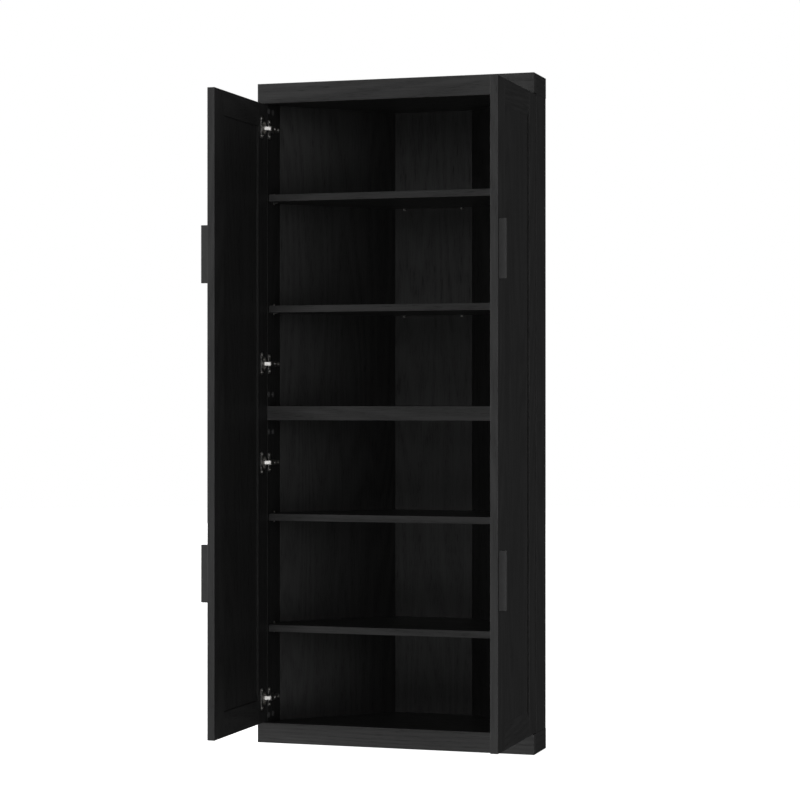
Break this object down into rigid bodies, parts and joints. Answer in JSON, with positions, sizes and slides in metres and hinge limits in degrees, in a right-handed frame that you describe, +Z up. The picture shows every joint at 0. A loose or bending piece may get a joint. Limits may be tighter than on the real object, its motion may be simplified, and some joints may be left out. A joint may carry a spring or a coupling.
{
  "type": "pantry cabinet",
  "caption": "Tall diagonal corner pantry cabinet with two framed doors on concealed hinges, block pulls and adjustable shelves.",
  "frame": {"origin": "on the floor, at mid-width and in the middle of the overall depth with both doors standing open", "axes": "+X to the right as seen from the front, +Y from the front to the back, +Z up"},
  "size_m": [0.817, 0.764, 1.8],
  "materials": {
    "carcass_laminate": "matt black wood-grain laminate on particle board",
    "door_laminate": "matt black wood-grain laminate on fibreboard frame",
    "shelf_laminate": "matt black wood-grain laminate, edge banded",
    "pull_metal": "matt black powder coat",
    "nickel_steel": "nickel-plated steel",
    "cap_plastic": "black plastic caps",
    "black_screw": "blackened steel"
  },
  "bodies": {
    "carcass": {"base_band_front": "carcass_laminate", "base_band_side_left": "carcass_laminate", "base_band_side_right": "carcass_laminate", "floor_board": "carcass_laminate", "side_wall_lower_left": "carcass_laminate", "side_wall_lower_right": "carcass_laminate", "diagonal_wall_lower_left": "carcass_laminate", "diagonal_wall_lower_right": "carcass_laminate", "back_wall_lower": "carcass_laminate", "middle_board": "carcass_laminate", "side_wall_upper_left": "carcass_laminate", "side_wall_upper_right": "carcass_laminate", "diagonal_wall_upper_left": "carcass_laminate", "diagonal_wall_upper_right": "carcass_laminate", "back_wall_upper": "carcass_laminate", "top_board": "carcass_laminate", "top_band_front": "carcass_laminate", "top_band_side_left": "carcass_laminate", "top_band_side_right": "carcass_laminate", "shelf_1": "shelf_laminate", "shelf_2": "shelf_laminate", "shelf_3": "shelf_laminate", "shelf_4": "shelf_laminate", "shelf_clips_left": "nickel_steel", "shelf_clips_right": "nickel_steel", "shelf_pegs": "nickel_steel", "cam_locks": "nickel_steel", "cam_caps": "cap_plastic", "cam_bolts": "nickel_steel", "hinge_arms_left": "nickel_steel", "hinge_arms_right": "nickel_steel", "hinge_pins_left": "nickel_steel", "hinge_pins_right": "nickel_steel", "hinge_plates_left": "nickel_steel", "hinge_plates_right": "nickel_steel", "hinge_plate_screws_left": "nickel_steel", "hinge_plate_screws_right": "nickel_steel"},
    "door_left": {"door_hinge_stile_left": "door_laminate", "door_free_stile_left": "door_laminate", "door_top_rail_left": "door_laminate", "door_bottom_rail_left": "door_laminate", "door_panel_left": "door_laminate", "handle_upper_left": "pull_metal", "handle_lower_left": "pull_metal", "handle_screws_left": "black_screw", "hinge_cups_left": "nickel_steel", "hinge_cup_screws_left": "nickel_steel"},
    "door_right": {"door_hinge_stile_right": "door_laminate", "door_free_stile_right": "door_laminate", "door_top_rail_right": "door_laminate", "door_bottom_rail_right": "door_laminate", "door_panel_right": "door_laminate", "handle_upper_right": "pull_metal", "handle_lower_right": "pull_metal", "handle_screws_right": "black_screw", "hinge_cups_right": "nickel_steel", "hinge_cup_screws_right": "nickel_steel"},
    "links_left": {"hinge_links_left": "nickel_steel"},
    "links_right": {"hinge_links_right": "nickel_steel"}
  },
  "joints": [
    {"name": "left_door_swing", "type": "hinge", "parent": "carcass", "child": "door_left", "pos_m": [-0.3785, -0.005, 0.9], "axis": [0, 0, -1], "range_deg": [-90, 20]},
    {"name": "right_door_swing", "type": "hinge", "parent": "carcass", "child": "door_right", "pos_m": [0.3785, -0.005, 0.9], "axis": [0, 0, 1], "range_deg": [-90, 20]},
    {"name": "left_link_turn", "type": "hinge", "parent": "carcass", "child": "links_left", "pos_m": [-0.3565, -0.001, 0.9], "axis": [0, 0, -1], "range_deg": [-10.7, 47.9]},
    {"name": "right_link_turn", "type": "hinge", "parent": "carcass", "child": "links_right", "pos_m": [0.3565, -0.001, 0.9], "axis": [0, 0, 1], "range_deg": [-10.7, 47.9]}
  ],
  "couplings": [
    {"joint": "left_link_turn", "follows": "left_door_swing", "ratio": -0.531},
    {"joint": "right_link_turn", "follows": "right_door_swing", "ratio": -0.531}
  ]
}
